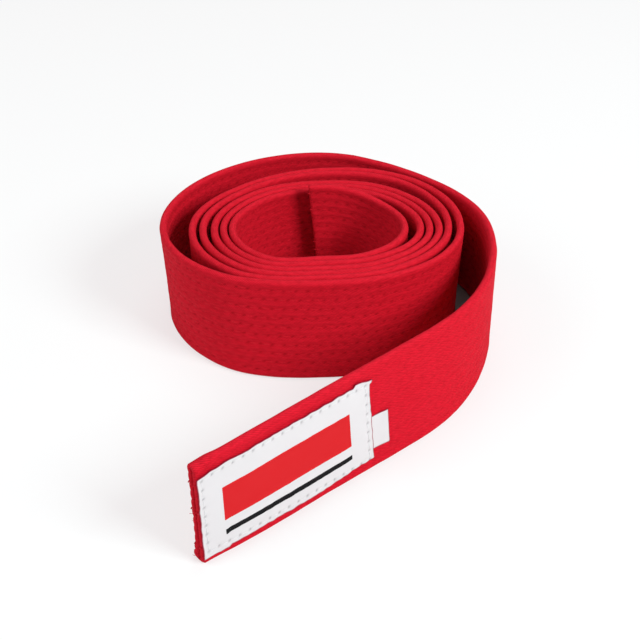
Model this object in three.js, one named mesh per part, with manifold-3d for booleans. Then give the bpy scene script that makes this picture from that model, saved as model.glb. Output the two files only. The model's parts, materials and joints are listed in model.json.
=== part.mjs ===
// A cotton martial arts belt, rolled up and standing on its edge, with its labelled end drawn off the roll.
// Millimetres, +Z up. The origin is under the middle of the whole belt, on the surface that it stands on.
import * as THREE from "three";
import Module from "manifold-3d";
import { mergeVertices } from "three/addons/utils/BufferGeometryUtils.js";

const wasm = await Module();
wasm.setup();

// The belt's cross-section
const beltWidth = 40;
const beltThickness = 2.6;
const coverCloth = 0.5; // the cover strip's own thickness on each face
const edgeRound = 0.9; // how far in from each edge the folded cover curves over
const edgeFlat = 1.4; // width of the flat along each folded edge
const plyFit = 0.12; // clearance between a ply and the cover
const plyInset = 0.6; // each ply stops this far short of the pocket's two edges
const endTuck = 2; // cover folded in at each end of the belt

// The rows of stitching that run the belt's length
const rowCount = 10;
const rowInset = 3.35; // from the belt's edge to the first row
const threadThickness = 0.2;
const threadHeight = 0.4;
const rowFit = 0.18; // clearance between a row and the ply on each side of it
const crossRowInset = 3.5; // from each end of the belt to the row sewn across it
const rowStop = 1; // the long rows and the plies stop this far from a cross row

// The roll: the reach from its centre to the inside of its innermost wrap, in eight directions,
// anticlockwise from the front: front, front right, right, back right, back, back left, left, front left
const hollowReach = [19.2, 23.5, 32, 28.5, 23.8, 25.5, 29, 26];
const wrapGap = { front: 0.7, right: 0.9, back: 0.35, left: 0.8 }; // air between neighbouring wraps
const wraps = 6.52; // turns from the front of the outermost wrap to the belt's inner end
const rollStart = 0.25; // the tail leaves the roll a quarter turn on, at its right
const outerWraps = 3; // the turns that stand off the inner ones at the back
const outerWrapSlack = [0, 0, 0, 4.6, 4.3, 0.8, 0.6, 0];
const looseWrapSlack = [0, 12, 8.9, 1.7, 10.1, 11.1, 6.9, 2.2]; // the outermost turn's own extra reach
const looseWrapJoin = 0.15; // the last part of its turn, where the loose wrap closes on to the next
const innerEndSpring = 2.5; // the inner end stands this far off the wrap behind it
const springLength = [0.42, 0.25]; // turns before the inner end where it starts, and where it is complete
const innerEndLift = 5; // and its top edge stands this much higher
const liftLength = 0.22; // turns before the inner end where it starts to rise
const stopsPerTurn = 16;
const shortestChord = 0.5; // the last chord is at least this part of a full one

// The tail, from the roll to the labelled end
const tailLead = 10.8;
const tailBendRadius = 70;
const tailBendAngle = THREE.MathUtils.degToRad(48.5);
const tailBendStops = 4;
const tailStraight = 102.5;
const shortestTailChord = 4; // a stop of the bend this near the end of a length is left out

// Where the cloth flexes: the belt's middle line turns in a gap between two lengths of belt
const flexGap = 1.5;
const flexPastTab = 12.7; // from the size tab to the second flex line

// The label, its size tab and their stitching
const labelLength = 68;
const labelBottomInset = 2.9; // from the belt's bottom edge up to the label
const labelTopInset = 4.2; // and from its top edge down to it
const labelFromEnd = 0.1;
const labelThickness = 0.35;
const labelStitchInset = 1.5; // from the edge of the label to its stitching
const labelThread = 0.4;
const layerGap = 0.12; // between one sewn layer and the next
const tabLength = 11.2;
const tabTucked = 4; // the part of the tab that is under the label
const tabHeight = 13;
const tabBottom = 8;
const tabThickness = 0.3;

const labelEnd = labelFromEnd + labelLength;
const labelTop = beltWidth - labelTopInset;
const tabStart = labelEnd - tabTucked;
const tabEnd = tabStart + tabLength;
const endPanelLength = tabEnd + flexPastTab; // from the labelled end to the second flex line

const tailBendLength = tailBendRadius * tailBendAngle;
const tailLength = tailStraight + tailBendLength + tailLead;

const half = beltThickness / 2;
const pocketHalf = half - coverCloth;
const plyThickness = pocketHalf - plyFit - rowFit - threadThickness / 2;

// A value given in evenly spaced directions, read smoothly at any angle from the front.
function around(values) {
  const count = values.length;
  const points = [];
  for (let i = -1; i <= count + 1; i++) {
    points.push(new THREE.Vector2(i, values[(i + count) % count]));
  }
  const spline = new THREE.SplineCurve(points);
  return (angle) => spline.getPoint(((angle / (2 * Math.PI)) * count + 1) / (count + 2)).y;
}

const hollowAt = around(hollowReach);
const outerSlackAt = around(outerWrapSlack);
const looseSlackAt = around(looseWrapSlack);

// The spacing of neighbouring wraps at an angle from the front.
function pitchAt(angle) {
  const side = Math.sin(angle) > 0 ? wrapGap.right : wrapGap.left;
  const end = Math.cos(angle) > 0 ? wrapGap.front : wrapGap.back;
  return beltThickness + THREE.MathUtils.lerp(end, side, Math.sin(angle) ** 2);
}

// The middle of the belt's bottom edge, so many turns in from the front of the outermost wrap.
function rollPoint(turns) {
  const { smoothstep } = THREE.MathUtils;
  const angle = (turns % 1) * 2 * Math.PI;
  let reach = hollowAt(angle) + half + pitchAt(angle) * (wraps - turns);
  if (turns < outerWraps) reach += outerSlackAt(angle);
  if (turns < 1) reach += looseSlackAt(angle) * smoothstep(1 - turns, 0, looseWrapJoin);
  const [springStart, springEnd] = springLength.map((length) => wraps - length);
  reach -= innerEndSpring * smoothstep(turns, springStart, springEnd);
  const lift = innerEndLift * smoothstep(turns, wraps - liftLength, wraps);
  return new THREE.Vector3(reach * Math.sin(angle), -reach * Math.cos(angle), lift);
}

const rollExit = rollPoint(rollStart);

// A stop is a place on the middle line of the belt's bottom edge, with the level direction across
// the belt's thickness, towards the inside of the roll.
function stopAt(point, ahead) {
  const across = new THREE.Vector3(-ahead.y, ahead.x, 0).normalize();
  return { point, across };
}

function rollStop(turns) {
  const step = 1e-3;
  return stopAt(rollPoint(turns), rollPoint(turns + step).sub(rollPoint(turns - step)));
}

// A stop on the tail, so many millimetres from the labelled end. The tail leaves the roll heading
// straight to the front, bends round to the left and then runs straight.
function tailStop(distance) {
  const fromRoll = tailLength - distance;
  const bent = THREE.MathUtils.clamp((fromRoll - tailLead) / tailBendRadius, 0, tailBendAngle);
  const straight = Math.max(fromRoll - tailLead - tailBendLength, 0);
  const point = new THREE.Vector3(
    rollExit.x - tailBendRadius * (1 - Math.cos(bent)) - straight * Math.sin(bent),
    rollExit.y - Math.min(fromRoll, tailLead) - tailBendRadius * Math.sin(bent) - straight * Math.cos(bent),
    0,
  );
  return stopAt(point, new THREE.Vector3(Math.sin(bent), Math.cos(bent), 0));
}

// The stops of a length of tail: its two ends, and the stops of the bend that lie between them.
function tailStops(from, to) {
  const distances = [from];
  for (let i = 0; i <= tailBendStops; i++) {
    const distance = tailStraight + (i * tailBendLength) / tailBendStops;
    const clear = Math.min(distance - from, to - distance);
    if (clear > shortestTailChord) distances.push(distance);
  }
  return [...distances, to].map(tailStop);
}

// The stops of the roll, evenly turned up to the last one, which is at the belt's inner end.
function rollStops() {
  const turns = [rollStart];
  let i = Math.floor(rollStart * stopsPerTurn) + 1;
  while (i + shortestChord < wraps * stopsPerTurn) {
    turns.push(i / stopsPerTurn);
    i++;
  }
  return [...turns, wraps].map(rollStop);
}

// The same stops with this much taken off each end, along the straight between the last two stops.
function trim(stops, start, end) {
  const between = (from, to, distance) => {
    const part = distance / from.point.distanceTo(to.point);
    return {
      point: from.point.clone().lerp(to.point, part),
      across: from.across.clone().lerp(to.across, part),
    };
  };
  const first = between(stops[0], stops[1], start);
  const last = between(stops.at(-1), stops.at(-2), end);
  return [first, ...stops.slice(1, -1), last];
}

// A closed strip: a convex outline of [across, up] points carried from stop to stop.
function strip(stops, outline) {
  const positions = [];
  for (const { point, across } of stops) {
    for (const [out, up] of outline) {
      positions.push(point.x + across.x * out, point.y + across.y * out, point.z + up);
    }
  }
  const count = outline.length;
  const last = (stops.length - 1) * count;
  const index = [];
  for (let ring = 0; ring < last; ring += count) {
    for (let i = 0; i < count; i++) {
      const j = (i + 1) % count;
      index.push(ring + i, ring + count + i, ring + j);
      index.push(ring + j, ring + count + i, ring + count + j);
    }
  }
  for (let i = 1; i < count - 1; i++) {
    index.push(0, i, i + 1);
    index.push(last, last + i + 1, last + i);
  }
  const geometry = new THREE.BufferGeometry();
  geometry.setAttribute("position", new THREE.Float32BufferAttribute(positions, 3));
  geometry.setIndex(index);
  return geometry;
}

// A closed geometry as a solid for cutting.
function solidOf(geometry) {
  const weldDistance = 1e-4;
  const merged = mergeVertices(geometry, weldDistance);
  const vertProperties = merged.attributes.position.array;
  const triVerts = new Uint32Array(merged.index.array);
  return new wasm.Manifold(new wasm.Mesh({ numProp: 3, vertProperties, triVerts }));
}

function cut(body, tool) {
  const mesh = solidOf(body).subtract(solidOf(tool)).getMesh();
  const geometry = new THREE.BufferGeometry();
  geometry.setAttribute("position", new THREE.BufferAttribute(mesh.vertProperties, 3));
  geometry.setIndex(new THREE.BufferAttribute(mesh.triVerts, 1));
  return geometry;
}

// Every outline starts on the belt's outer face at the bottom, and goes up it first.
function box(outFrom, outTo, upFrom, upTo) {
  return [
    [outFrom, upFrom],
    [outFrom, upTo],
    [outTo, upTo],
    [outTo, upFrom],
  ];
}

const coverOutline = [
  [-half, edgeRound],
  [-half, beltWidth - edgeRound],
  [-edgeFlat / 2, beltWidth],
  [edgeFlat / 2, beltWidth],
  [half, beltWidth - edgeRound],
  [half, edgeRound],
  [edgeFlat / 2, 0],
  [-edgeFlat / 2, 0],
];
const pocketOutline = box(-pocketHalf, pocketHalf, edgeRound, beltWidth - edgeRound);

function plyOutline(side) {
  const near = side * (pocketHalf - plyFit);
  const far = near - side * plyThickness;
  const bottom = edgeRound + plyInset;
  return box(Math.min(near, far), Math.max(near, far), bottom, beltWidth - bottom);
}

// Row threads are locked between the plies, in the middle of the belt.
function rowOutline(row) {
  const height = rowInset + (row * (beltWidth - 2 * rowInset)) / (rowCount - 1);
  return [
    [-threadThickness / 2, height - threadHeight / 2],
    [0, height + threadHeight / 2],
    [threadThickness / 2, height - threadHeight / 2],
  ];
}

const cotton = new THREE.MeshStandardMaterial({ color: 0xcc1830, roughness: 0.85, metalness: 0 });
const batting = new THREE.MeshStandardMaterial({ color: 0xe9e2d2, roughness: 0.95, metalness: 0 });
const redThread = new THREE.MeshStandardMaterial({ color: 0xe0485c, roughness: 0.6, metalness: 0 });
const satin = new THREE.MeshStandardMaterial({ color: 0xf6f5f2, roughness: 0.45, metalness: 0 });
const whiteThread = new THREE.MeshStandardMaterial({ color: 0xdddcd8, roughness: 0.6, metalness: 0 });

const belt = new THREE.Group();

function place(name, geometry, material) {
  const mesh = new THREE.Mesh(geometry, material);
  mesh.name = name;
  belt.add(mesh);
}

// The cover, plies and rows of one length of belt between its first and last stops. An end of the belt
// itself is tucked in and closed. Any other end is open, with half of a flex gap taken off it.
function beltLength(name, stops, closedStart, closedEnd) {
  const ends = (closed, open) => [closedStart ? closed : open, closedEnd ? closed : open];
  const gap = flexGap / 2;
  const held = crossRowInset + threadHeight + rowStop;
  const cover = strip(trim(stops, ...ends(0, gap)), coverOutline);
  const pocket = strip(trim(stops, ...ends(endTuck, 0)), pocketOutline);
  place("cover_" + name, cut(cover, pocket), cotton);
  const inside = trim(stops, ...ends(held, gap));
  place("core_ply_outer_" + name, strip(inside, plyOutline(-1)), batting);
  place("core_ply_inner_" + name, strip(inside, plyOutline(1)), batting);
  for (let row = 0; row < rowCount; row++) {
    const number = String(row + 1).padStart(2, "0");
    place(`stitch_row_${number}_${name}`, strip(inside, rowOutline(row)), redThread);
  }
}

beltLength("end_panel", tailStops(0, endPanelLength), true, false);
beltLength("tail", tailStops(endPanelLength, tailLength), false, false);
beltLength("roll", rollStops(), false, true);

// A row sewn across the belt, at the first or the last of two stops.
function crossRow(name, stops, atFirst) {
  const outline = box(-threadThickness / 2, threadThickness / 2, rowInset, beltWidth - rowInset);
  const rest = stops[0].point.distanceTo(stops[1].point) - crossRowInset - threadHeight;
  const ends = atFirst ? [crossRowInset, rest] : [rest, crossRowInset];
  place(name, strip(trim(stops, ...ends), outline), redThread);
}

crossRow("cross_row_labelled_end", tailStops(0, endPanelLength), true);
crossRow("cross_row_inner_end", rollStops().slice(-2), false);

// The size tab is sewn under the label's inner end, and the label over it.
const tabFace = -(half + layerGap);
const labelFace = tabFace - tabThickness - layerGap;
place(
  "size_tab",
  strip(
    tailStops(tabStart, tabEnd),
    box(tabFace - tabThickness, tabFace, tabBottom, tabBottom + tabHeight),
  ),
  satin,
);
place(
  "label",
  strip(
    tailStops(labelFromEnd, labelEnd),
    box(labelFace - labelThickness, labelFace, labelBottomInset, labelTop),
  ),
  satin,
);

// One thread runs round the label, inside its border. It is a thin panel with a wider one cut from it.
const threadFace = labelFace - labelThickness - layerGap;

function stitchPanel(inset, extra) {
  return strip(
    tailStops(labelFromEnd + inset, labelEnd - inset),
    box(threadFace - threadThickness - extra, threadFace + extra, labelBottomInset + inset, labelTop - inset),
  );
}

const threadPanel = stitchPanel(labelStitchInset, 0);
const threadOpening = stitchPanel(labelStitchInset + labelThread, threadThickness);
place("label_stitching", cut(threadPanel, threadOpening), whiteThread);

// The origin goes under the middle of the whole belt.
const middle = new THREE.Box3().setFromObject(belt, true).getCenter(new THREE.Vector3());
belt.position.set(-middle.x, -middle.y, 0);

export default belt;
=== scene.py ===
import json
import math
import bpy
import numpy as np
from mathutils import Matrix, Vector, noise


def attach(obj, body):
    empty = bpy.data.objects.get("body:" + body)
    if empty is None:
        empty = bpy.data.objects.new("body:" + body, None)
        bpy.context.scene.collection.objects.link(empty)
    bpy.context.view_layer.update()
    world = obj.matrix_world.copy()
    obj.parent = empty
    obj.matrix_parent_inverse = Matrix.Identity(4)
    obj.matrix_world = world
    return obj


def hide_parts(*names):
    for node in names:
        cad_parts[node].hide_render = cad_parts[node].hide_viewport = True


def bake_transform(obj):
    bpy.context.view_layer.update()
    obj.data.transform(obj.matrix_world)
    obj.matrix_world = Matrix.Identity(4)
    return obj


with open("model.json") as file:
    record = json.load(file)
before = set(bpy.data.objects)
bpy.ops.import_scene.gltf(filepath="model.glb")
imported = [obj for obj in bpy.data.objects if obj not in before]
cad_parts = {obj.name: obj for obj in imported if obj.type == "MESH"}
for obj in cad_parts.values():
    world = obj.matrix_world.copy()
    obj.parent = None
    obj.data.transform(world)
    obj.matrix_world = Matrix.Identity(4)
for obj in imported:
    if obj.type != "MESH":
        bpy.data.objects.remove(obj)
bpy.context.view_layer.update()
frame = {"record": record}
joints = {joint["name"]: joint for joint in frame["record"]["behaviour"]["joints"]}
tailExit = Vector(joints["tail_swing"]["pos_m"])
print("frame loaded")

# General helpers
def smoothstep(value, low, high):
    part = np.clip((value - low) / (high - low), 0, 1)
    return part * part * (3 - 2 * part)


def readPoints(piece):
    points = np.empty(len(piece.data.vertices) * 3)
    piece.data.vertices.foreach_get("co", points)
    return points.reshape(-1, 3)


def writePoints(piece, points):
    piece.data.vertices.foreach_set("co", points.ravel())
    piece.data.update()


def only(piece):  # selects one piece and nothing else
    if bpy.context.object and bpy.context.object.mode != "OBJECT":
        bpy.ops.object.mode_set(mode="OBJECT")
    bpy.ops.object.select_all(action="DESELECT")
    piece.select_set(True)
    bpy.context.view_layer.objects.active = piece


def pick(piece, chosen):  # opens the piece in edit mode with these points selected
    only(piece)
    bpy.ops.object.mode_set(mode="EDIT")
    bpy.ops.mesh.select_mode(type="VERT")
    bpy.ops.mesh.select_all(action="DESELECT")
    bpy.ops.object.mode_set(mode="OBJECT")
    piece.data.vertices.foreach_set("select", np.asarray(chosen, dtype=bool))
    bpy.ops.object.mode_set(mode="EDIT")


def applyAll(piece):
    only(piece)
    for modifier in list(piece.modifiers):
        bpy.ops.object.modifier_apply(modifier=modifier.name)


def named(name):
    piece = bpy.context.object
    piece.name = piece.data.name = name
    return piece


def joinAll(pieces, name):
    only(pieces[0])
    for piece in pieces:
        piece.select_set(True)
    bpy.ops.object.join()
    return named(name)


def faceOutwards(piece):
    only(piece)
    bpy.ops.object.mode_set(mode="EDIT")
    bpy.ops.mesh.select_all(action="SELECT")
    bpy.ops.mesh.normals_make_consistent(inside=False)
    bpy.ops.object.mode_set(mode="OBJECT")


def smoothByAngle(piece, degrees):
    only(piece)
    bpy.ops.object.shade_smooth_by_angle(angle=math.radians(degrees))


def wander(points, scale, seed):  # gentle noise over a set of points, from -1 to 1
    offset = Vector((seed * 3.7, seed * 1.9, seed * 5.3))
    return np.array([noise.noise(Vector(point) * scale + offset) for point in points])


# The line that the belt lies on, from the labelled end to the inner end
roll = {
    "thickness": 0.0026,
    "wraps": 6.52,  # turns from the front of the outermost wrap to the inner end
    "start": 0.25,  # the tail leaves here, at the right
    "hollow": (19.2, 23.5, 32, 28.5, 23.8, 25.5, 29, 26),  # its reach in eight directions, mm
    "gaps": {"front": 0.0007, "right": 0.0009, "back": 0.00035, "left": 0.0008},
    "outerWraps": 3,
    "outerSlack": (0, 0, 0, 4.6, 4.3, 0.8, 0.6, 0),
    "looseSlack": (0, 12, 8.9, 1.7, 10.1, 11.1, 6.9, 2.2),
    "looseJoin": 0.15,
    "innerSpring": 0.0025,
    "springLength": (0.42, 0.25),
    "innerLift": 0.005,
    "liftLength": 0.22,
    "stepsPerTurn": 260,
}
tail = {
    "lead": 0.0108,
    "bendRadius": 0.070,
    "bendAngle": math.radians(48.5),
    "straight": 0.1025,
    "step": 0.0015,
}
smoothing = {"from": 0.070, "to": 0.250, "passes": 70}  # eases the line where the tail joins the roll


def around(values, angle):  # values in even directions from the front, read smoothly, in metres
    place = angle / (2 * math.pi) * len(values)
    first = math.floor(place)
    part = place - first
    before, low, high, after = (values[(first + i) % len(values)] / 1000 for i in (-1, 0, 1, 2))
    slopeLow, slopeHigh = (high - before) / 2, (after - low) / 2
    cubic = 2 * low - 2 * high + slopeLow + slopeHigh
    square = -3 * low + 3 * high - 2 * slopeLow - slopeHigh
    return ((cubic * part + square) * part + slopeLow) * part + low


def rollReach(turns):
    angle = (turns % 1) * 2 * math.pi
    gaps = roll["gaps"]
    side = gaps["right"] if math.sin(angle) > 0 else gaps["left"]
    end = gaps["front"] if math.cos(angle) > 0 else gaps["back"]
    pitch = roll["thickness"] + end + (side - end) * math.sin(angle) ** 2
    reach = around(roll["hollow"], angle) + roll["thickness"] / 2 + pitch * (roll["wraps"] - turns)
    if turns < roll["outerWraps"]:
        reach += around(roll["outerSlack"], angle)
    if turns < 1:
        reach += around(roll["looseSlack"], angle) * smoothstep(1 - turns, 0, roll["looseJoin"])
    springs = [roll["wraps"] - length for length in roll["springLength"]]
    return reach - roll["innerSpring"] * smoothstep(turns, *springs)


rollCentre = tailExit - Vector((rollReach(roll["start"]), 0, 0))

# the camera looks past the roll's centre, down on the open side of the roll
view = {"lens": 67.0, "sensor": 36.0, "distance": 0.466, "elevation": math.radians(36), "ahead": 0.005}
back = Vector((0, -math.cos(view["elevation"]), math.sin(view["elevation"])))
bpy.ops.object.camera_add(
    location=rollCentre - Vector((0, view["ahead"], 0)) + back * view["distance"],
    rotation=(math.pi / 2 - view["elevation"], 0, 0),
)
camera = bpy.context.object
camera.data.lens = view["lens"]
camera.data.sensor_width = view["sensor"]
bpy.context.scene.camera = camera
print("camera set")


def tailPlace(fromRoll):
    bent = min(max((fromRoll - tail["lead"]) / tail["bendRadius"], 0), tail["bendAngle"])
    straight = max(fromRoll - tail["lead"] - tail["bendRadius"] * tail["bendAngle"], 0)
    x = tailExit.x - tail["bendRadius"] * (1 - math.cos(bent)) - straight * math.sin(bent)
    y = (
        tailExit.y
        - min(fromRoll, tail["lead"])
        - tail["bendRadius"] * math.sin(bent)
        - straight * math.cos(bent)
    )
    return x, y


def rollPlace(turns):
    angle = turns * 2 * math.pi
    reach = rollReach(turns)
    return rollCentre.x + reach * math.sin(angle), rollCentre.y - reach * math.cos(angle)


tailLength = tail["lead"] + tail["bendRadius"] * tail["bendAngle"] + tail["straight"]
tailSteps = round(tailLength / tail["step"])
rollSteps = round((roll["wraps"] - roll["start"]) * roll["stepsPerTurn"])
rollTurns = np.linspace(roll["start"], roll["wraps"], rollSteps + 1)
linePoints = np.array(
    [tailPlace(tailLength * (1 - i / tailSteps)) for i in range(tailSteps)]
    + [rollPlace(turns) for turns in rollTurns]
)
lineTurns = np.concatenate([np.full(tailSteps, roll["start"]), rollTurns])


def lengthsAlong(points):
    return np.concatenate([[0], np.cumsum(np.linalg.norm(np.diff(points, axis=0), axis=1))])


lengths = lengthsAlong(linePoints)
eased = np.flatnonzero((lengths > smoothing["from"]) & (lengths < smoothing["to"]))
for _ in range(smoothing["passes"]):
    linePoints[eased] = (linePoints[eased - 1] + 2 * linePoints[eased] + linePoints[eased + 1]) / 4
lengths = lengthsAlong(linePoints)
beltLength = lengths[-1]

lineCurve = bpy.data.curves.new("beltLine", "CURVE")
lineCurve.dimensions = "3D"
lineCurve.twist_mode = "Z_UP"
lineCurve.use_deform_bounds = False
spline = lineCurve.splines.new("POLY")
spline.points.add(len(linePoints) - 1)
for point, (x, y) in zip(spline.points, linePoints):
    point.co = (x, y, 0, 1)
beltLine = bpy.data.objects.new("beltLine", lineCurve)
bpy.context.collection.objects.link(beltLine)
print("belt line", round(beltLength, 4), "m long")


# How the flat belt gives before it is rolled
give = {
    "leans": (  # how far a wrap leans out at its top, and the turns where it starts and stops
        (0.0016, (0.50, 0.68), (0.74, 0.86)),
        (-0.0018, (0.80, 0.92), (1.03, 1.24)),
        (0.0011, (1.08, 1.20), (1.30, 1.42)),
        (0.0010, (1.55, 1.72), (1.82, 1.98)),
        (0.0004, (2.55, 2.72), (2.82, 2.98)),
    ),
    "leanPower": 1.5,  # a lean grows this fast with height
    "frontFoot": (0.0019, (0.78, 0.97), (1.10, 1.25)),  # the outermost wrap's foot, out at the front
    "frontTurns": (1.3, 2.4, 6.5),  # the wraps behind it lean in there, by the amounts below
    "frontIn": (0.0017, 0.0017, 0.0009),
    "frontAt": 0.97,
    "tailTop": 0.0009,  # the tail leans back: its top is this much in, and its foot out as below
    "tailTopEnd": (0.120, 0.180),
    "footFrom": (0, 0.020, 0.050, 0.084, 0.102, 0.112, 0.136),
    "footOut": (0, 0.0020, 0.0028, 0.0041, 0.0039, 0.0024, 0),
    "footEasing": (-0.008, -0.004, 0, 0.004, 0.008),
    "cornerDrop": (0.0013, 0.007),  # the upper corner of the labelled end is worn round
    "endBulk": 0.55,  # extra thickness where the cover is turned in at the labelled end
    "footBulk": 1.2,  # and more again at its lower corner
    "footBulkTop": 0.25,
    "innerBulk": 0.25,
    "endReach": 0.011,
    "endSlant": 0.0035,  # the inner end isn't cut square
    "endSlantLength": 0.030,
    "rise": 0.00045,  # unevenness of the top and bottom edges
    "riseScale": 14.0,
    "riseMean": 0.4,
    "sway": 0.00010,  # unevenness of the faces
    "swayScale": 150.0,
}


def layEasily(piece):  # x runs along the belt, -y is its outer face, z is up across its width
    points = readPoints(piece)
    distance, up = points[:, 0].copy(), np.clip(points[:, 2] / belt["width"], 0, 1)
    turns = np.interp(distance, lengths, lineTurns)
    bulk = give["endBulk"] * (1 - smoothstep(distance, 0, give["endReach"]))
    bulk *= 1 + give["footBulk"] * (1 - smoothstep(up, 0, give["footBulkTop"]))
    bulk += give["innerBulk"] * smoothstep(distance, beltLength - give["endReach"], beltLength)
    points[:, 1] += bulk * np.clip(points[:, 1] + belt["thickness"] / 2, 0, None)
    for lean, start, stop in give["leans"]:
        leaning = smoothstep(turns, *start)
        points[:, 1] -= lean * leaning * (1 - smoothstep(turns, *stop)) * up ** give["leanPower"]
    frontFoot, footStart, footStop = give["frontFoot"]
    footing = smoothstep(turns, *footStart)
    points[:, 1] -= frontFoot * footing * (1 - smoothstep(turns, *footStop)) * (1 - up)
    facing = np.clip(np.cos(2 * math.pi * (turns - give["frontAt"])), 0, 1) ** give["leanPower"]
    facing = facing * (turns > give["frontTurns"][0])
    leanIn = np.interp(turns, give["frontTurns"], give["frontIn"])
    points[:, 1] += leanIn * facing * up ** give["leanPower"]
    points[:, 1] += give["tailTop"] * up * (1 - smoothstep(distance, *give["tailTopEnd"]))
    foot = [np.interp(distance + step, give["footFrom"], give["footOut"]) for step in give["footEasing"]]
    points[:, 1] -= np.mean(foot, axis=0) * (1 - up)
    drop, dropEnd = give["cornerDrop"]
    points[:, 2] -= drop * up ** 3 * (1 - smoothstep(distance, 0, dropEnd))
    points[:, 1] += give["sway"] * wander(points * (1, 0, 1), give["swayScale"], 2)
    slanting = smoothstep(distance, beltLength - give["endSlantLength"], beltLength)
    points[:, 0] += give["endSlant"] * (up - 0.5) * slanting
    alongOnly = np.column_stack([distance, np.zeros(len(distance)), np.zeros(len(distance))])
    rise = give["rise"] * np.clip(wander(alongOnly, give["riseScale"], 1) + give["riseMean"], 0, 1)
    lifting = smoothstep(turns, roll["wraps"] - roll["liftLength"], roll["wraps"])
    points[:, 2] += rise + roll["innerLift"] * lifting
    writePoints(piece, points)


def rollUp(piece):
    layEasily(piece)
    bend = piece.modifiers.new("rollUp", "CURVE")
    bend.object = beltLine
    bend.deform_axis = "POS_X"
    applyAll(piece)
    return piece


# The belt: cloth sewn flat, then rolled
belt = {
    "width": 0.040,
    "thickness": 0.0026,
    "stitches": 401,  # in one row, from end to end
    "rows": 10,
    "rowInset": 0.00335,
    "stepsPerStitch": 3,
    "rowDepth": 0.00020,
    "needleDepth": 0.00022,
    "puff": 0.00003,
    "foldPuff": 0.00007,  # the folded edges are fuller than the sewn middle
    "foldSteps": 3,
    "needleStep": (0, 2, 1, 1, 0, 2, 0, 1, 2, 1),  # where in its pitch each row has its needle hole
    "cuts": (27, 42),  # stitches from the labelled end to where one length meets the next
    "tailMarks": 0.45,  # needle marks on the tail, as a share of those on the roll
    "lip": 0.0005,
    "lipSteps": ((-0.75, 0.86, 0.992), (-0.25, 0.5, 0.975), (0.5, 0.5, 1)),  # move in lips, then scale
    "tuck": 0.0011,
    "tuckThin": 0.3,
    "edgePuff": 0.7,  # share of the fold's fullness that is left beside the first row
    "join": 1e-5,
    "smoothAngle": 65,
}
stitchPitch = beltLength / belt["stitches"]
rowHeights = [
    belt["rowInset"] + row * (belt["width"] - 2 * belt["rowInset"]) / (belt["rows"] - 1)
    for row in range(belt["rows"])
]


def beltRing():  # once round the belt from the bottom of its outer face: y, z, row, share of the fold
    half = belt["thickness"] / 2
    fold = []
    for step in range(1, belt["foldSteps"] + 1):
        angle = math.pi / 2 * step / belt["foldSteps"]
        fullness = half + belt["foldPuff"]
        fold.append((fullness * math.sin(angle), half * (1 - math.cos(angle)), None, math.cos(angle)))
    face = list(fold)
    edgeOut, edgeUp = half + belt["edgePuff"] * belt["foldPuff"], (half + rowHeights[0]) / 2
    face.append((edgeOut, edgeUp, None, 0))
    for row, height in enumerate(rowHeights):
        face.append((half - belt["rowDepth"], height, row, 0))
        if row + 1 < belt["rows"]:
            gap = rowHeights[row + 1] - height
            face += [(half + belt["puff"], height + gap * part, None, 0) for part in (1 / 3, 2 / 3)]
    face.append((edgeOut, belt["width"] - edgeUp, None, 0))
    face += [(y, belt["width"] - z, row, on) for y, z, row, on in reversed(fold)]
    outer = [(-y, z, row, on) for y, z, row, on in face]
    return [(0, 0, None, 1)] + outer + [(0, belt["width"], None, 1)] + face[::-1]


ring = beltRing()
ringCorners = np.array([(y, z) for y, z, _, _ in ring] + [ring[0][:2]])
ringLengths = lengthsAlong(ringCorners)


def addAttribute(piece, name, values):
    attribute = piece.data.attributes.new(name, "FLOAT", "POINT")
    attribute.data.foreach_set("value", np.asarray(values, dtype=float))


def repeatAlong(piece, count, merged=False):  # one copy for each stitch
    array = piece.modifiers.new("stitches", "ARRAY")
    array.count = count
    array.use_relative_offset = False
    array.use_constant_offset = True
    array.constant_offset_displace = (stitchPitch, 0, 0)
    array.use_merge_vertices = merged
    array.merge_threshold = belt["join"]
    applyAll(piece)


def sewnLength(name, first, last, marks):  # a length of belt between two stitches
    count = len(ring)
    steps = belt["stepsPerStitch"]
    bpy.ops.mesh.primitive_grid_add(x_subdivisions=steps, y_subdivisions=count, size=1)
    piece = named(name)
    grid = readPoints(piece)
    columns = np.rint((grid[:, 1] + 0.5) * count).astype(int)
    strides = np.rint((grid[:, 0] + 0.5) * steps).astype(int)
    points = np.empty_like(grid)
    needle, foldEdge = np.zeros(len(grid)), np.zeros(len(grid))
    for i, (column, stride) in enumerate(zip(columns, strides)):
        y, z, row, onFold = ring[column % count]
        if row is not None and stride % steps == belt["needleStep"][row]:
            y -= math.copysign(belt["needleDepth"] * marks, y)
            needle[i] = marks
        points[i] = (first * stitchPitch + stride * stitchPitch / steps, y, z)
        foldEdge[i] = onFold
    writePoints(piece, points)
    addAttribute(piece, "needle", needle)
    addAttribute(piece, "foldEdge", foldEdge)
    repeatAlong(piece, last - first, merged=True)
    clothMap = piece.data.uv_layers[0]
    clothMap.name = "clothMap"
    corners = np.empty(len(piece.data.loops) * 2)
    clothMap.data.foreach_get("uv", corners)
    corners = corners.reshape(-1, 2)
    owners = np.empty(len(piece.data.loops), dtype=int)
    piece.data.loops.foreach_get("vertex_index", owners)
    corners[:, 0] = readPoints(piece)[owners, 0]
    corners[:, 1] = np.interp(corners[:, 1] * count, np.arange(count + 1), ringLengths)
    clothMap.data.foreach_set("uv", corners.ravel())
    only(piece)
    bpy.ops.object.mode_set(mode="EDIT")
    bpy.ops.mesh.select_all(action="SELECT")
    bpy.ops.mesh.remove_doubles(threshold=belt["join"])
    bpy.ops.object.mode_set(mode="OBJECT")
    return piece


def atEnd(piece, distance):
    return np.abs(readPoints(piece)[:, 0] - distance) < belt["join"]


def closeFlat(piece, distance):  # where it meets the next length
    pick(piece, atEnd(piece, distance))
    bpy.ops.mesh.edge_face_add()
    bpy.ops.object.mode_set(mode="OBJECT")


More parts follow.
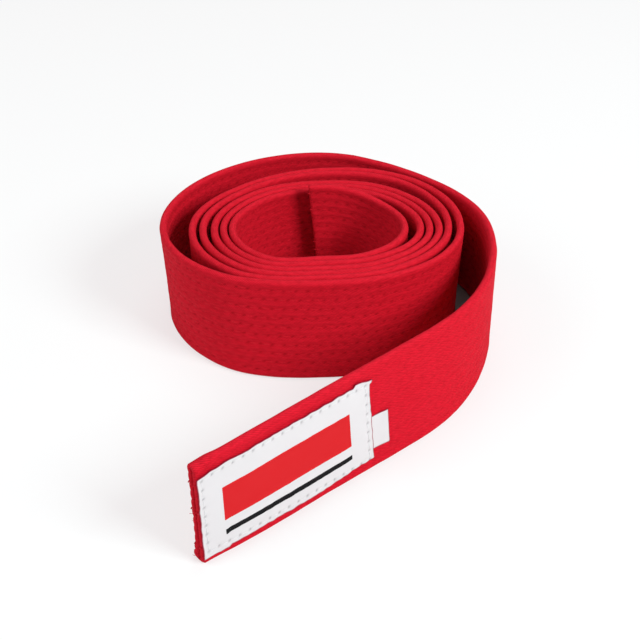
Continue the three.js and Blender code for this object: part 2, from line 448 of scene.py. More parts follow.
def tuckIn(piece, distance, inward):  # the cover turned in at the belt's end, its lips together
    pick(piece, atEnd(piece, distance))
    lip, middle = belt["lip"], (distance, 0, belt["width"] / 2)
    bpy.ops.transform.translate(value=(inward * lip, 0, 0))
    steps = [(move * lip, thin, short) for move, thin, short in belt["lipSteps"]]
    for move, thin, short in steps + [(belt["tuck"], belt["tuckThin"], 1)]:
        bpy.ops.mesh.extrude_edges_move(TRANSFORM_OT_translate={"value": (inward * move, 0, 0)})
        bpy.ops.transform.resize(value=(1, thin, short), center_override=middle)
    bpy.ops.mesh.edge_face_add()
    bpy.ops.object.mode_set(mode="OBJECT")


panelCut, rollCut = belt["cuts"]
panelBelt = sewnLength("panelBelt", 0, panelCut, belt["tailMarks"])
tuckIn(panelBelt, 0, 1)
closeFlat(panelBelt, panelCut * stitchPitch)
tailBelt = sewnLength("tailBelt", panelCut, rollCut, belt["tailMarks"])
closeFlat(tailBelt, panelCut * stitchPitch)
closeFlat(tailBelt, rollCut * stitchPitch)
rollBelt = sewnLength("rollBelt", rollCut, belt["stitches"], 1)
closeFlat(rollBelt, rollCut * stitchPitch)
tuckIn(rollBelt, beltLength, -1)
for piece in (panelBelt, tailBelt, rollBelt):
    faceOutwards(piece)
    rollUp(piece)
    smoothByAngle(piece, belt["smoothAngle"])
print("belt rolled", [len(piece.data.polygons) for piece in (panelBelt, tailBelt, rollBelt)])


# The stitches that show on the two faces
thread = {
    "length": 0.0027,
    "width": 0.00030,
    "height": 0.00026,
    "sink": 0.00024,  # how far its ends go down into the needle holes
    "endWidth": 0.45,
    "proud": {"roll": 0.20, "tail": -0.25, "panel": -0.25},  # how far it stands out, in its own heights
    "stray": 0.00016,
    "strayScale": 500.0,
    "settle": 0.00009,
    "settleScale": 260.0,
    "cuts": (-0.28, 0.28),  # shares of its length
    "tipFrom": 0.4,
    "topWidth": 0.6,  # rounder on top
    "smoothAngle": 50,
}


def oneStitch(x, y, z):
    size = (thread["length"], thread["height"], thread["width"])
    bpy.ops.mesh.primitive_cube_add(size=1, location=(0, 0, 0), scale=size)
    stitch = bpy.context.object
    bpy.ops.object.transform_apply(location=False, rotation=False, scale=True)
    bpy.ops.object.mode_set(mode="EDIT")
    for cut in thread["cuts"]:
        bpy.ops.mesh.select_all(action="SELECT")
        bpy.ops.mesh.bisect(plane_co=(cut * thread["length"], 0, 0), plane_no=(1, 0, 0))
    bpy.ops.object.mode_set(mode="OBJECT")
    points = readPoints(stitch)
    atTip = np.abs(points[:, 0]) > thread["tipFrom"] * thread["length"]
    outside = points[:, 1] * np.sign(y) > 0
    points[atTip, 2] *= thread["endWidth"]
    points[atTip, 1] -= np.sign(y) * thread["sink"]
    points[outside, 2] *= thread["topWidth"]
    writePoints(stitch, points + (x, y, z))
    return stitch


def stitching(name, side, first, last, proud):
    level = side * (belt["thickness"] / 2 - belt["rowDepth"] + thread["height"] * proud)
    stitches = []
    for row, height in enumerate(rowHeights):
        phase = (belt["needleStep"][row] / belt["stepsPerStitch"] + 0.5) % 1
        stitches.append(oneStitch((first + phase) * stitchPitch, level, height))
    piece = joinAll(stitches, name)
    repeatAlong(piece, last - first)
    points = readPoints(piece)
    points[:, 2] += thread["stray"] * wander(points * (1, 0, 1), thread["strayScale"], 5 + side)
    settling = 1 + wander(points * (1, 0, 1), thread["settleScale"], 8 + side)
    points[:, 1] -= side * thread["settle"] * settling
    writePoints(piece, points)
    rollUp(piece)
    smoothByAngle(piece, thread["smoothAngle"])
    return piece


lengthsOfBelt = {"panel": (0, panelCut), "tail": (panelCut, rollCut), "roll": (rollCut, belt["stitches"])}
stitchPieces = {}
for length, (first, last) in lengthsOfBelt.items():
    for faceName, side in (("Outer", -1), ("Inner", 1)):
        stitchPieces[length + faceName] = stitching(
            length + "Stitches" + faceName, side, first, last, thread["proud"][length]
        )
print("stitches sewn")


# The label and its size tab
label = {
    "from": 0.0001,
    "length": 0.068,
    "bottom": 0.0033,
    "top": 0.0358,
    "cell": 0.0005,
    "level": 0.00158,  # from the belt's middle to the label's back
    "thickness": 0.00028,
    "ragged": 0.00035,
    "raggedScale": 420.0,
    "raggedPower": 6,
    "edgePower": 4,  # how closely a change of an edge keeps to it
    "cornerStep": 0.0012,
    "lowCorner": (0.0090, 0.0008),  # up to here the lower edge hangs this much lower
    "lowRise": (0.042, 0.066, 0.0012),  # and between these two places it climbs this much
    "highCorner": (0.0610, 0.0009),  # from here on the upper edge stands this much higher
    "highDroop": (0.0620, 0.0680, 0.0012),  # and then droops
    "tip": 0.0011,  # a frayed point at the upper inner corner
    "tipUp": (0.95, 0.975),
    "tipPower": 24,
    "stitchInset": 0.0017,
    "stitchPitch": 0.0037,
    "stitchSink": 0.00002,
    "needleReach": 0.0004,
    "pucker": 0.00022,
    "puckerReach": 0.0009,
    "curl": 0.00022,
    "curlScale": 130.0,
    "curlPower": 8,
    "ripple": 0.00012,
    "rippleScale": 60.0,
    "smoothAngle": 50,
}
tab = {
    "from": 0.0641,
    "length": 0.0112,
    "bottom": 0.0080,
    "height": 0.0130,
    "level": 0.00132,
    "thickness": 0.00025,
    "cell": 0.0005,
    "lift": 0.00045,  # its free end stands off the belt
    "liftAlong": (0.45, 1.0),
    "ripple": 0.00010,
    "rippleScale": 240.0,
    "ragged": 0.0003,
    "raggedScale": 300.0,
}


def flatSheet(name, form, height):  # a flat grid standing along the belt
    columns, rows = round(form["length"] / form["cell"]), round(height / form["cell"])
    bpy.ops.mesh.primitive_grid_add(x_subdivisions=columns, y_subdivisions=rows, size=1)
    piece = named(name)
    points = readPoints(piece)
    points = np.column_stack([
        form["from"] + (points[:, 0] + 0.5) * form["length"],
        np.full(len(points), -form["level"]),
        form["bottom"] + (points[:, 1] + 0.5) * height,
    ])
    piece.data.uv_layers[0].name = "clothMap"
    return piece, points


def mapFlat(piece, points):  # the cloth map of a flat sheet is its own length and height
    owners = np.empty(len(piece.data.loops), dtype=int)
    piece.data.loops.foreach_get("vertex_index", owners)
    piece.data.uv_layers[0].data.foreach_set("uv", points[owners][:, (0, 2)].ravel())


def thicken(piece, thickness):
    solid = piece.modifiers.new("cloth", "SOLIDIFY")
    solid.thickness = thickness
    solid.offset = 0
    applyAll(piece)
    faceOutwards(piece)


def labelSeam():  # the seam's left, right, low and high, and its stitches across and upward
    inset = label["stitchInset"]
    left, right = label["from"] + inset, label["from"] + label["length"] - inset
    low, high = label["bottom"] + inset, label["top"] - inset
    across = round((right - left) / label["stitchPitch"])
    return left, right, low, high, across, round((high - low) / label["stitchPitch"])


def needleSpots():  # places along the label's border where its needle went in
    left, right, low, high, across, upward = labelSeam()
    spots = [(left + (right - left) * i / across, z) for i in range(across + 1) for z in (low, high)]
    return spots + [(x, low + (high - low) * i / upward) for i in range(1, upward) for x in (left, right)]


def makeLabel():
    height = label["top"] - label["bottom"]
    piece, points = flatSheet("labelCloth", label, height)
    mapFlat(piece, points)
    up = (points[:, 2] - label["bottom"]) / height
    along = points[:, 0].copy()
    edgeWander = wander(np.column_stack([along, up * 0, up * 0]), label["raggedScale"], 11)
    otherWander = wander(np.column_stack([along, up * 0, up * 0]), label["raggedScale"], 12)
    sideWander = wander(np.column_stack([points[:, 2], up * 0, up * 0]), label["raggedScale"], 13)
    lowEnd, lowDrop = label["lowCorner"]
    highStart, highRise = label["highCorner"]
    riseFrom, riseTo, lowRise = label["lowRise"]
    droopFrom, droopTo, droop = label["highDroop"]
    step, power = label["cornerStep"], label["edgePower"]
    low = label["ragged"] * edgeWander - lowDrop * (1 - smoothstep(along, lowEnd, lowEnd + step))
    low += lowRise * smoothstep(along, riseFrom, riseTo)
    high = label["ragged"] * otherWander + highRise * smoothstep(along, highStart, highStart + step)
    high -= droop * smoothstep(along, droopFrom, droopTo)
    points[:, 2] += low * (1 - up) ** power + high * up ** power
    fromLeft = (along - label["from"]) / label["length"]
    atSide = np.abs(2 * fromLeft - 1) ** label["raggedPower"]
    points[:, 0] += label["ragged"] * sideWander * atSide * np.sign(fromLeft - 0.5)
    points[:, 0] += label["tip"] * smoothstep(up, *label["tipUp"]) * fromLeft ** label["tipPower"]
    acrossEdge = label["length"] * (0.5 - np.abs(fromLeft - 0.5))
    toEdge = np.minimum(acrossEdge, height * (0.5 - np.abs(up - 0.5)))
    # the border, which the material paints dark maroon: partly a frayed red edge, partly painted shadow
    # where the label stands off the belt
    rimFrayAndShadow = 1 - np.clip(toEdge / label["cell"], 0, 1)
    needle = np.zeros(len(points))
    for x, z in needleSpots():
        gap = np.hypot(points[:, 0] - x, points[:, 2] - z)
        needle = np.maximum(needle, np.exp(-(gap / label["needleReach"]) ** 2))
        points[:, 1] += label["pucker"] * np.exp(-(gap / label["puckerReach"]) ** 2)
    borderUp = np.abs(2 * up - 1) ** label["curlPower"]
    curling = 0.5 + wander(np.column_stack([along, up, up * 0]), label["curlScale"], 14)
    points[:, 1] -= label["curl"] * borderUp * curling
    points[:, 1] -= label["ripple"] * wander(points, label["rippleScale"], 15)
    writePoints(piece, points)
    addAttribute(piece, "needle", needle)
    addAttribute(piece, "rimFrayAndShadow", rimFrayAndShadow)
    thicken(piece, label["thickness"])
    rollUp(piece)
    smoothByAngle(piece, label["smoothAngle"])
    return piece


def makeTab():
    piece, points = flatSheet("sizeTab", tab, tab["height"])
    mapFlat(piece, points)
    along = (points[:, 0] - tab["from"]) / tab["length"]
    points[:, 1] -= tab["lift"] * smoothstep(along, *tab["liftAlong"])
    points[:, 1] -= tab["ripple"] * wander(points, tab["rippleScale"], 21)
    alongOnly = np.column_stack([points[:, 0], along * 0, along * 0])
    points[:, 2] += tab["ragged"] * wander(alongOnly, tab["raggedScale"], 22)
    writePoints(piece, points)
    up = (points[:, 2] - tab["bottom"]) / tab["height"]
    toEdge = np.minimum((1 - along) * tab["length"], tab["height"] * (0.5 - np.abs(up - 0.5)))
    addAttribute(piece, "needle", np.zeros(len(points)))
    # its border is painted dark maroon too: partly a frayed red edge, partly painted shadow
    addAttribute(piece, "rimFrayAndShadow", 1 - np.clip(toEdge / tab["cell"], 0, 1))
    thicken(piece, tab["thickness"])
    rollUp(piece)
    smoothByAngle(piece, label["smoothAngle"])
    return piece


def makeLabelStitches():
    left, right, low, high, across, upward = labelSeam()
    level = -(label["level"] + label["thickness"] / 2 - label["stitchSink"])
    stitches = []
    for i in range(across):
        x = left + (right - left) * (i + 0.5) / across
        stitches += [oneStitch(x, level, low), oneStitch(x, level, high)]
    for i in range(upward):
        z = low + (high - low) * (i + 0.5) / upward
        for x in (left, right):
            stitch = oneStitch(0, level, 0)
            points = readPoints(stitch)
            points[:, (0, 2)] = points[:, (2, 0)] * (1, -1)
            writePoints(stitch, points + (x, 0, z))
            stitches.append(stitch)
    piece = joinAll(stitches, "labelStitches")
    rollUp(piece)
    smoothByAngle(piece, thread["smoothAngle"])
    return piece


fibres = {
    "radius": 0.00006,
    "along": (-0.0003, 0.0002, 0.0004, -0.0002),
    "up": (0.0185, 0.0200, 0.0212, 0.0033),
    "lengths": (0.0016, 0.0011, 0.0019, 0.0012),
    "depth": -0.0006,
    "cuts": (0.25, 0.5, 0.75),  # shares of its length
    "outCurl": 0.3,  # each curls out more than the last
    "upCurl": (0.6, 0.4),  # the first curls up by this much, and each less than the last
    "smoothAngle": 60,
}


def makeFibres():  # a little fluff where the labelled end is worn
    pieces = []
    for i, (along, up, length) in enumerate(zip(fibres["along"], fibres["up"], fibres["lengths"])):
        bpy.ops.mesh.primitive_cylinder_add(
            vertices=6, radius=fibres["radius"], depth=length, location=(0, 0, length / 2)
        )
        fibre = bpy.context.object
        bpy.ops.object.transform_apply(location=True, rotation=False, scale=False)
        bpy.ops.object.mode_set(mode="EDIT")
        for cut in fibres["cuts"]:
            bpy.ops.mesh.select_all(action="SELECT")
            bpy.ops.mesh.bisect(plane_co=(0, 0, cut * length), plane_no=(0, 0, 1))
        bpy.ops.object.mode_set(mode="OBJECT")
        points = readPoints(fibre)
        out = points[:, 2].copy()
        curl = (out / length) ** 2 * length
        upFirst, upLess = fibres["upCurl"]
        points = np.column_stack([
            along - out,
            fibres["depth"] + points[:, 1] + fibres["outCurl"] * i * curl,
            up + points[:, 0] + (upFirst - upLess * i) * curl,
        ])
        writePoints(fibre, points)
        faceOutwards(fibre)
        pieces.append(fibre)
    piece = joinAll(pieces, "looseFibres")
    rollUp(piece)
    smoothByAngle(piece, fibres["smoothAngle"])
    return piece


labelPiece = makeLabel()
looseFibres = makeFibres()
tabPiece = makeTab()
labelStitches = makeLabelStitches()
print("label sewn on")


# Materials
def nodeIn(tree, kind, **settings):
    node = tree.nodes.new(kind)
    for name, value in settings.items():
        setattr(node, name, value)
    return node


def mathNode(tree, operation, first, second=None, clamp=False):
    node = nodeIn(tree, "ShaderNodeMath", operation=operation, use_clamp=clamp)
    for socket, value in zip(node.inputs, (first, second)):
        if hasattr(value, "is_output"):
            tree.links.new(value, socket)
        elif value is not None:
            socket.default_value = value
    return node.outputs[0]


def sineWave(tree, turns, depth):  # its top is 1
    sine = mathNode(tree, "SINE", mathNode(tree, "MULTIPLY", turns, 2 * math.pi))
    wave = mathNode(tree, "MULTIPLY_ADD", sine, depth)
    wave.node.inputs[2].default_value = 1 - depth
    return wave


def addBump(tree, shader, height, strength, distance):
    bump = nodeIn(tree, "ShaderNodeBump")
    bump.inputs["Strength"].default_value = strength
    bump.inputs["Distance"].default_value = distance
    tree.links.new(height, bump.inputs["Height"])
    tree.links.new(bump.outputs["Normal"], shader.inputs["Normal"])


def newGroup(name, inputs, outputs):
    group = bpy.data.node_groups.new(name, "ShaderNodeTree")
    for socketName, kind, value in inputs:
        socket = group.interface.new_socket(socketName, in_out="INPUT", socket_type=kind)
        if value is not None:
            socket.default_value = value
    for socketName, kind in outputs:
        group.interface.new_socket(socketName, in_out="OUTPUT", socket_type=kind)
    return group, nodeIn(group, "NodeGroupInput"), nodeIn(group, "NodeGroupOutput")


weaving = {
    "yarnScale": 1100.0,
    "yarnDetail": 3.0,
    "yarnStretch": 0.35,  # slubs run along the belt
    "floatPitch": 0.62,  # of a rib's pitch
    "floatDepth": 0.16,
}


def makeTwillWeave():  # diagonal ribs broken into short floats of yarn
    group, source, result = newGroup(
        "twillWeave",
        [
            ("Cloth", "NodeSocketVector", None),
            ("Rib Pitch", "NodeSocketFloat", 0.0006),
            ("Rib Slope", "NodeSocketFloat", 0.47),
            ("Unevenness", "NodeSocketFloat", 0.35),
        ],
        [("Height", "NodeSocketFloat"), ("Yarn", "NodeSocketFloat")],
    )
    split = nodeIn(group, "ShaderNodeSeparateXYZ")
    group.links.new(source.outputs["Cloth"], split.inputs[0])
    u, v = split.outputs[0], split.outputs[1]
    rough = nodeIn(group, "ShaderNodeTexNoise")
    rough.inputs["Scale"].default_value = weaving["yarnScale"]
    rough.inputs["Detail"].default_value = weaving["yarnDetail"]
    slubs = nodeIn(group, "ShaderNodeMapping")
    slubs.inputs["Scale"].default_value = (weaving["yarnStretch"], 1, 1)
    group.links.new(source.outputs["Cloth"], slubs.inputs["Vector"])
    group.links.new(slubs.outputs["Vector"], rough.inputs["Vector"])
    centred = mathNode(group, "SUBTRACT", rough.outputs["Fac"], 0.5)
    jitter = mathNode(group, "MULTIPLY", centred, source.outputs["Unevenness"])
    slanted = mathNode(group, "ADD", v, mathNode(group, "MULTIPLY", u, source.outputs["Rib Slope"]))
    turns = mathNode(group, "ADD", mathNode(group, "DIVIDE", slanted, source.outputs["Rib Pitch"]), jitter)
    rib = sineWave(group, turns, 0.5)
    floatPitch = mathNode(group, "MULTIPLY", source.outputs["Rib Pitch"], weaving["floatPitch"])
    floats = sineWave(group, mathNode(group, "DIVIDE", u, floatPitch), weaving["floatDepth"])
    group.links.new(mathNode(group, "MULTIPLY", rib, floats), result.inputs["Height"])
    group.links.new(rough.outputs["Fac"], result.inputs["Yarn"])
    return group


def makeHandling():  # uneven dye and soft wear from use
    group, source, result = newGroup(
        "handling",
        [
            ("Cloth", "NodeSocketVector", None),
            ("Color", "NodeSocketColor", None),
            ("Worn Color", "NodeSocketColor", None),
            ("Wear", "NodeSocketFloat", 0.3),
            ("Scale", "NodeSocketFloat", 60.0),
        ],
        [("Color", "NodeSocketColor"), ("Patch", "NodeSocketFloat")],
    )
    patches = nodeIn(group, "ShaderNodeTexNoise")
    patches.inputs["Detail"].default_value = 4.0
    group.links.new(source.outputs["Cloth"], patches.inputs["Vector"])
    group.links.new(source.outputs["Scale"], patches.inputs["Scale"])
    amount = mathNode(group, "MULTIPLY", patches.outputs["Fac"], source.outputs["Wear"], clamp=True)
    mix = nodeIn(group, "ShaderNodeMix", data_type="RGBA")
    group.links.new(amount, mix.inputs["Factor"])
    group.links.new(source.outputs["Color"], mix.inputs["A"])
    group.links.new(source.outputs["Worn Color"], mix.inputs["B"])
    group.links.new(mix.outputs["Result"], result.inputs["Color"])
    group.links.new(patches.outputs["Fac"], result.inputs["Patch"])
    return group


twillWeave = makeTwillWeave()
handling = makeHandling()


clothSheenRoughness, clothSpecular = 0.45, 0.08


def newMaterial(name, roughness, sheen, sheenTint):
    material = bpy.data.materials.new(name)
    material.use_nodes = True
    shader = material.node_tree.nodes["Principled BSDF"]
    shader.inputs["Roughness"].default_value = roughness
    shader.inputs["Sheen Weight"].default_value = sheen
    shader.inputs["Sheen Roughness"].default_value = clothSheenRoughness
    shader.inputs["Sheen Tint"].default_value = (*sheenTint, 1)
    shader.inputs["Specular IOR Level"].default_value = clothSpecular
    return material, material.node_tree, shader


def placeGroup(tree, group, **values):
    node = nodeIn(tree, "ShaderNodeGroup", node_tree=group)
    for name, value in values.items():
        node.inputs[name.replace("_", " ")].default_value = value
    return node


def mixColors(tree, factor, first, second):
    mix = nodeIn(tree, "ShaderNodeMix", data_type="RGBA")
    for value, socketName in ((factor, "Factor"), (first, "A"), (second, "B")):
        socket = mix.inputs[socketName]
        if hasattr(value, "is_output"):
            tree.links.new(value, socket)
        else:
            socket.default_value = value
    return mix.outputs["Result"]


cotton = {
    "dye": (0.60, 0.006, 0.020, 1),
    "worn": (0.70, 0.014, 0.036, 1),
    # lighter on the folded edges: partly wear, partly painted highlight
    "fold": (0.72, 0.016, 0.036, 1),
    # the dark color for painted shade in the weave's furrows and needle holes, and for thin yarn
    "hole": (0.24, 0.001, 0.004, 1),
    "ribPitch": 0.00060,
    "ribSlope": 0.47,
    "bump": 0.55,
    "bumpDepth": 0.00010,
    "roughness": 0.88,
    "sheen": 0.03,
    "sheenTint": (1.0, 0.2, 0.25),
    "unevenness": 0.5,
    "wear": 0.5,
    "wearScale": 55.0,
    "foldWearAndHighlight": 0.7,
    "furrowShade": (0.7, 0.55),  # painted shade in the weave's furrows: darker below this height of the weave, by this much
    "slub": (0.62, 0.9),  # and below this fullness of the yarn
    "needleFrom": 0.40,
    "needlePatch": (0.32, 6.0),  # the painted shade in the needle holes shows only where the cloth is this worn
    "yarnBump": 0.6,
}


def makeCotton():
    finish = (cotton["roughness"], cotton["sheen"], cotton["sheenTint"])
    material, tree, shader = newMaterial("redCotton", *finish)
    cloth = nodeIn(tree, "ShaderNodeUVMap", uv_map="clothMap").outputs["UV"]
    weave = placeGroup(
        tree, twillWeave,
        Rib_Pitch=cotton["ribPitch"], Rib_Slope=cotton["ribSlope"], Unevenness=cotton["unevenness"],
    )
    used = placeGroup(
        tree, handling,
        Color=cotton["dye"], Worn_Color=cotton["worn"], Wear=cotton["wear"], Scale=cotton["wearScale"],
    )
    for node in (weave, used):
        tree.links.new(cloth, node.inputs["Cloth"])
    fold = nodeIn(tree, "ShaderNodeAttribute", attribute_name="foldEdge").outputs["Fac"]
    needle = nodeIn(tree, "ShaderNodeAttribute", attribute_name="needle").outputs["Fac"]
    # the folded edges are made lighter: partly wear, partly painted highlight
    onFold = mathNode(tree, "MULTIPLY", fold, cotton["foldWearAndHighlight"])
    base = mixColors(tree, onFold, used.outputs["Color"], cotton["fold"])
    # painted shade in the weave's furrows, and darker thin yarn, both toward the hole color
    furrowShade, slub = (
        mathNode(tree, "MULTIPLY", mathNode(tree, "SUBTRACT", top, weave.outputs[name], clamp=True), amount)
        for name, (top, amount) in (("Height", cotton["furrowShade"]), ("Yarn", cotton["slub"]))
    )
    base = mixColors(tree, mathNode(tree, "ADD", furrowShade, slub, clamp=True), base, cotton["hole"])
    patchFrom, patchGain = cotton["needlePatch"]
    patch = mathNode(tree, "SUBTRACT", used.outputs["Patch"], patchFrom, clamp=True)
    shown = mathNode(tree, "MULTIPLY", patch, patchGain, clamp=True)
    # painted shade in the needle holes
    deep = mathNode(tree, "SUBTRACT", needle, cotton["needleFrom"], clamp=True)
    pit = mathNode(tree, "MULTIPLY", deep, shown)
    base = mixColors(tree, pit, base, cotton["hole"])
    tree.links.new(base, shader.inputs["Base Color"])
    yarn = mathNode(tree, "MULTIPLY", weave.outputs["Yarn"], cotton["yarnBump"])
    height = mathNode(tree, "ADD", weave.outputs["Height"], yarn)
    addBump(tree, shader, height, cotton["bump"], cotton["bumpDepth"])
    return material


threadLook = {
    "roughness": 0.6,
    "wear": 0.9,
    "wearScale": 900.0,
    "bump": 0.3,
    "bumpDepth": 0.00005,
    "red": ((0.50, 0.006, 0.016, 1), (0.58, 0.016, 0.032, 1)),
    "white": ((0.62, 0.62, 0.64, 1), (0.70, 0.70, 0.71, 1)),
}


def makeThread(name, color, pale):
    material, tree, shader = newMaterial(name, threadLook["roughness"], 0.0, (1, 1, 1))
    place = nodeIn(tree, "ShaderNodeTexCoord").outputs["Object"]
    used = placeGroup(
        tree, handling,
        Color=color, Worn_Color=pale, Wear=threadLook["wear"], Scale=threadLook["wearScale"],
    )
    tree.links.new(place, used.inputs["Cloth"])
    tree.links.new(used.outputs["Color"], shader.inputs["Base Color"])
    addBump(tree, shader, used.outputs["Patch"], threadLook["bump"], threadLook["bumpDepth"])
    return material


satin = {
    "cloth": (0.615, 0.61, 0.62, 1),
    "soft": (0.555, 0.55, 0.575, 1),
    # dark color for painted shade in the needle holes
    "hole": (0.14, 0.13, 0.15, 1),
    # the border's dark maroon: partly a frayed red edge, partly painted shadow under the label's edge
    "rimFrayAndShadow": (0.26, 0.008, 0.030, 1),
    "bar": (0.53, 0.010, 0.014, 1),
    "rule": (0.004, 0.004, 0.005, 1),
    "roughness": 0.55,
    "ribPitch": 0.00035,
    "unevenness": 0.3,
    "wear": 0.35,
    "wearScale": 90.0,
    "needleDark": 0.8,
    "rimFrom": 0.2,
    "rimGain": 1.5,
    "bump": 0.25,
    "bumpDepth": 0.00005,
}
motif = {  # left, right, low and high on the label
    "bar": (0.0085, 0.0590, 0.0140, 0.0270),
    "rule": (0.0085, 0.0590, 0.0085, 0.0104),
}


def boxMask(tree, cloth, bounds):  # 1 inside a box of the cloth map
    split = nodeIn(tree, "ShaderNodeSeparateXYZ")
    tree.links.new(cloth, split.inputs[0])
    left, right, low, high = bounds
    inside = None
    limits = (
        (0, left, "GREATER_THAN"),
        (0, right, "LESS_THAN"),
        (1, low, "GREATER_THAN"),
        (1, high, "LESS_THAN"),
    )
    for axis, value, operation in limits:
        test = mathNode(tree, operation, split.outputs[axis], value)
        inside = test if inside is None else mathNode(tree, "MULTIPLY", inside, test)
    return inside


def makeSatin(name, withMotif):
    material, tree, shader = newMaterial(name, satin["roughness"], 0.0, (1, 1, 1))
    cloth = nodeIn(tree, "ShaderNodeUVMap", uv_map="clothMap").outputs["UV"]
    weave = placeGroup(
        tree, twillWeave,
        Rib_Pitch=satin["ribPitch"], Rib_Slope=0.0, Unevenness=satin["unevenness"],
    )
    used = placeGroup(
        tree, handling,
        Color=satin["cloth"], Worn_Color=satin["soft"], Wear=satin["wear"], Scale=satin["wearScale"],
    )
    for node in (weave, used):
        tree.links.new(cloth, node.inputs["Cloth"])
    base = used.outputs["Color"]
    if withMotif:
        base = mixColors(tree, boxMask(tree, cloth, motif["bar"]), base, satin["bar"])
        base = mixColors(tree, boxMask(tree, cloth, motif["rule"]), base, satin["rule"])
    # painted shade in the seam's needle holes
    needle = nodeIn(tree, "ShaderNodeAttribute", attribute_name="needle").outputs["Fac"]
    dark = mathNode(tree, "MULTIPLY", needle, satin["needleDark"])
    base = mixColors(tree, dark, base, satin["hole"])
    # painted shadow along the border, together with a frayed red edge
    rimFrayAndShadow = nodeIn(tree, "ShaderNodeAttribute", attribute_name="rimFrayAndShadow").outputs["Fac"]
    atRim = mathNode(tree, "SUBTRACT", rimFrayAndShadow, satin["rimFrom"], clamp=True)
    atRim = mathNode(tree, "MULTIPLY", atRim, satin["rimGain"], clamp=True)
    base = mixColors(tree, atRim, base, satin["rimFrayAndShadow"])
    tree.links.new(base, shader.inputs["Base Color"])
    addBump(tree, shader, weave.outputs["Height"], satin["bump"], satin["bumpDepth"])
    return material


redCotton = makeCotton()
redThread = makeThread("redThread", *threadLook["red"])
whiteThread = makeThread("whiteThread", *threadLook["white"])
labelSatin = makeSatin("labelSatin", True)
tabSatin = makeSatin("tabSatin", False)


def dress(piece, material):
    piece.data.materials.clear()
    piece.data.materials.append(material)


for piece in (panelBelt, tailBelt, rollBelt):
    dress(piece, redCotton)
for piece in stitchPieces.values():
    dress(piece, redThread)
dress(looseFibres, redThread)
dress(labelPiece, labelSatin)
dress(tabPiece, tabSatin)
dress(labelStitches, whiteThread)
print("materials made")


def follow(length, piece):
    if length == "roll":
        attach(piece, "roll")
    elif length == "tail":
        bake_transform(piece)
    else:
        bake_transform(piece)


bodyOf = {"panel": "end_panel", "tail": "tail", "roll": "roll"}
clothOf = {"panel": panelBelt, "tail": tailBelt, "roll": rollBelt}
for length, body in bodyOf.items():
    first, last = lengthsOfBelt[length]
    follow(length, clothOf[length])
    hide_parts("cover_" + body, "core_ply_outer_" + body, "core_ply_inner_" + body)
    for faceName in ("Outer", "Inner"):
        follow(length, stitchPieces[length + faceName])
    rows = [f"stitch_row_{row + 1:02d}_{body}" for row in range(belt["rows"])]
    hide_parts(*rows)
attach(looseFibres, "end_panel")
for piece, node in ((labelPiece, "label"), (tabPiece, "size_tab"), (labelStitches, "label_stitching")):
    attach(piece, "end_panel")
    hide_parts(node)
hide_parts("cross_row_inner_end")
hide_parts("cross_row_labelled_end")
bpy.data.objects.remove(beltLine)


# Floor and light
studio = {
    "floor": 6.0,
    "floorColor": (0.93, 0.93, 0.93, 1),
    "seenColor": (0.29, 0.34, 0.335, 1),  # its own color where it is seen; its glow adds the rest. Less red than the glow, so the floor's shadows come out pink: a painted pink cast
    "glowColor": (1, 0.93, 0.94, 1),
    "floorGlow": 0.67,  # a painted glow, seen only by the camera, that whitens the floor and fills its shadows, except under the roll
    "shadeMiddle": (0.003, 0.008),  # from the roll's centre
    "shadeReach": (0.058, 0.045),
    "shadeFade": (1.0, 1.1),
    "sky": 0.31,
    "seenSky": 0.88,  # past the edge of the floor
    "key": {"energy": 12.9, "size": 0.45, "place": (0.80, -0.52, 0.72)},
    "fill": {"energy": 6.6, "size": 0.9, "place": (-0.95, -0.32, 0.75)},
    "top": {"energy": 1.6, "size": 0.5, "place": (0.10, 0.35, 1.00)},
    "aim": (0, 0, 0.02),
}

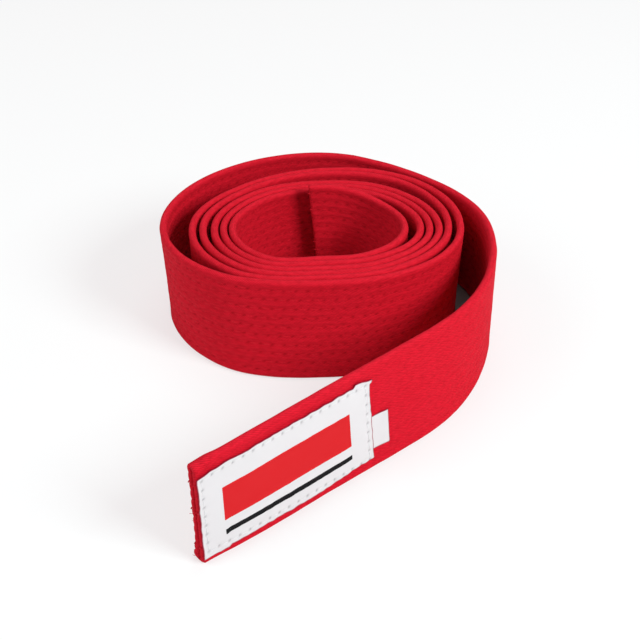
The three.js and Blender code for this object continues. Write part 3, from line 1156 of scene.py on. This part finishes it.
bpy.ops.object.select_all(action="DESELECT")
bpy.ops.mesh.primitive_plane_add(size=studio["floor"])
floor = named("studioFloor")
floorPaper = bpy.data.materials.new("floorPaper")
floorPaper.use_nodes = True
paper = floorPaper.node_tree.nodes["Principled BSDF"]
paper.inputs["Roughness"].default_value = 1.0
paper.inputs["Specular IOR Level"].default_value = 0.0
paper.inputs["Emission Color"].default_value = studio["glowColor"]
paperTree = floorPaper.node_tree
spot = nodeIn(paperTree, "ShaderNodeMapping")
shadeMiddle = rollCentre + Vector((*studio["shadeMiddle"], 0))
for axis, reach in enumerate(studio["shadeReach"]):
    spot.inputs["Scale"].default_value[axis] = 1 / reach
    spot.inputs["Location"].default_value[axis] = -shadeMiddle[axis] / reach
paperTree.links.new(nodeIn(paperTree, "ShaderNodeTexCoord").outputs["Object"], spot.inputs["Vector"])
away = nodeIn(paperTree, "ShaderNodeVectorMath", operation="LENGTH")
paperTree.links.new(spot.outputs["Vector"], away.inputs[0])
glow = nodeIn(paperTree, "ShaderNodeMapRange", interpolation_type="SMOOTHSTEP")
glow.inputs["From Min"].default_value, glow.inputs["From Max"].default_value = studio["shadeFade"]
glow.inputs["To Max"].default_value = studio["floorGlow"]
paperTree.links.new(away.outputs["Value"], glow.inputs["Value"])
# the painted glow and the seen color apply to camera rays only
seen = nodeIn(paperTree, "ShaderNodeLightPath").outputs["Is Camera Ray"]
glowSeen = mathNode(paperTree, "MULTIPLY", glow.outputs["Result"], seen)
paperTree.links.new(glowSeen, paper.inputs["Emission Strength"])
floorSeen = mixColors(paperTree, seen, studio["floorColor"], studio["seenColor"])
paperTree.links.new(floorSeen, paper.inputs["Base Color"])
floor.data.materials.append(floorPaper)

world = bpy.data.worlds.new("studioWorld")
bpy.context.scene.world = world
world.use_nodes = True
skyTree = world.node_tree
sky = skyTree.nodes["Background"]
sky.inputs["Color"].default_value = (1, 1, 1, 1)
skyStrength = nodeIn(skyTree, "ShaderNodeMapRange")
skySeen = nodeIn(skyTree, "ShaderNodeLightPath").outputs["Is Camera Ray"]
skyTree.links.new(skySeen, skyStrength.inputs["Value"])
skyStrength.inputs["To Min"].default_value = studio["sky"]
skyStrength.inputs["To Max"].default_value = studio["seenSky"]
skyTree.links.new(skyStrength.outputs["Result"], sky.inputs["Strength"])
for name in ("key", "fill", "top"):
    lamp = studio[name]
    place = Vector(lamp["place"])
    turn = (place - Vector(studio["aim"])).to_track_quat("Z", "Y").to_euler()
    bpy.ops.object.light_add(type="AREA", location=place, rotation=turn)
    light = bpy.context.object
    light.name = name + "Light"
    light.data.energy = lamp["energy"]
    light.data.size = lamp["size"]
bpy.context.scene.view_settings.view_transform = "Standard"
print("studio lit")
